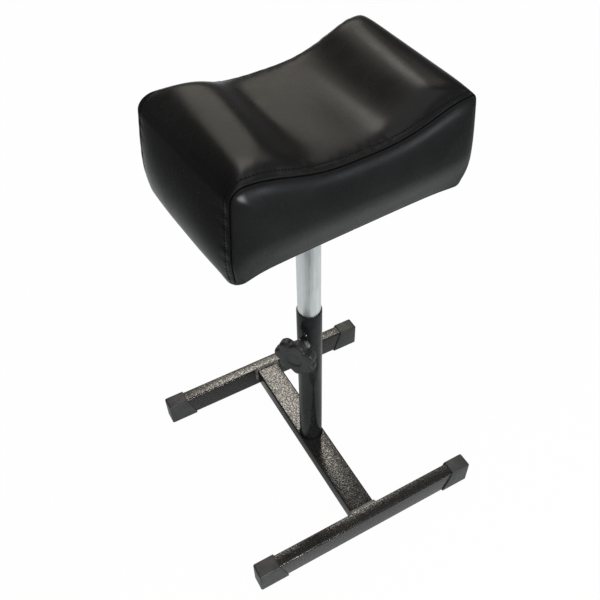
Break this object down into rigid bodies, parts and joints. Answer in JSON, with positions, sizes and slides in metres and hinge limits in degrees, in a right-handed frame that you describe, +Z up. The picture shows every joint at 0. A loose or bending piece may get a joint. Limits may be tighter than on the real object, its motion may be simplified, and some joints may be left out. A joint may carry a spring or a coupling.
{
  "type": "pedicure footrest",
  "caption": "Free-standing footrest with a padded saddle cushion on a post that slides and turns in a clamped sleeve, on a welded H-shaped tube base with slip-on end caps.",
  "frame": {"origin": "on the floor, under the post's axis, at the middle of the base", "axes": "+X along the leg tubes and the cushion's length, +Y along the cross bar towards the rear leg, +Z up along the post"},
  "size_m": [0.369, 0.359, 0.658],
  "materials": {
    "hammered_black": "black hammered powder coat",
    "gloss_black": "smooth gloss black paint",
    "zinc": "bright zinc plate with drawn streaks",
    "grey_plastic": "matt moulded",
    "black_plastic": "satin moulded",
    "plywood": "raw",
    "foam": "open-cell foam",
    "black_leatherette": "smooth satin upholstery vinyl"
  },
  "bodies": {
    "base": {"near_leg_tube": "hammered_black", "rear_leg_tube": "hammered_black", "cross_bar": "hammered_black", "near_bar_weld": "hammered_black", "rear_bar_weld": "hammered_black", "near_left_cap": "grey_plastic", "near_right_cap": "grey_plastic", "rear_left_cap": "grey_plastic", "rear_right_cap": "grey_plastic", "column_sleeve": "gloss_black", "sleeve_base_weld": "gloss_black", "clamp_nut": "zinc", "clamp_nut_weld_lower": "gloss_black", "clamp_nut_weld_upper": "gloss_black"},
    "post_carrier": {"post_end_plug": "black_plastic"},
    "post_and_cushion": {"post_tube": "zinc", "mount_plate": "gloss_black", "post_plate_weld": "gloss_black", "plate_screw_1": "zinc", "plate_screw_2": "zinc", "plate_screw_3": "zinc", "plate_screw_4": "zinc", "base_board": "plywood", "foam_core": "foam", "cover_wrap_panel": "black_leatherette", "cover_front_panel": "black_leatherette", "cover_rear_panel": "black_leatherette"},
    "clamp_screw": {"clamp_stud": "zinc"},
    "knob": {"clamp_knob": "black_plastic"}
  },
  "joints": [
    {"name": "height_slide", "type": "slide", "parent": "base", "child": "post_carrier", "axis": [0, 0, 1], "range_m": [-0.19, 0.025]},
    {"name": "post_swivel", "type": "hinge", "parent": "post_carrier", "child": "post_and_cushion", "pos_m": [0, 0, 0.3], "axis": [0, 0, 1], "continuous": true},
    {"name": "clamp_travel", "type": "slide", "parent": "base", "child": "clamp_screw", "axis": [-0.8192, -0.5736, 0], "range_m": [0, 0.0046]},
    {"name": "knob_turn", "type": "hinge", "parent": "clamp_screw", "child": "knob", "pos_m": [-0.0279, -0.0195, 0.2815], "axis": [-0.8192, -0.5736, 0], "range_deg": [0, 1080]}
  ],
  "couplings": [
    {"joint": "clamp_travel", "follows": "knob_turn", "m_per_rad": 0.00023873}
  ]
}
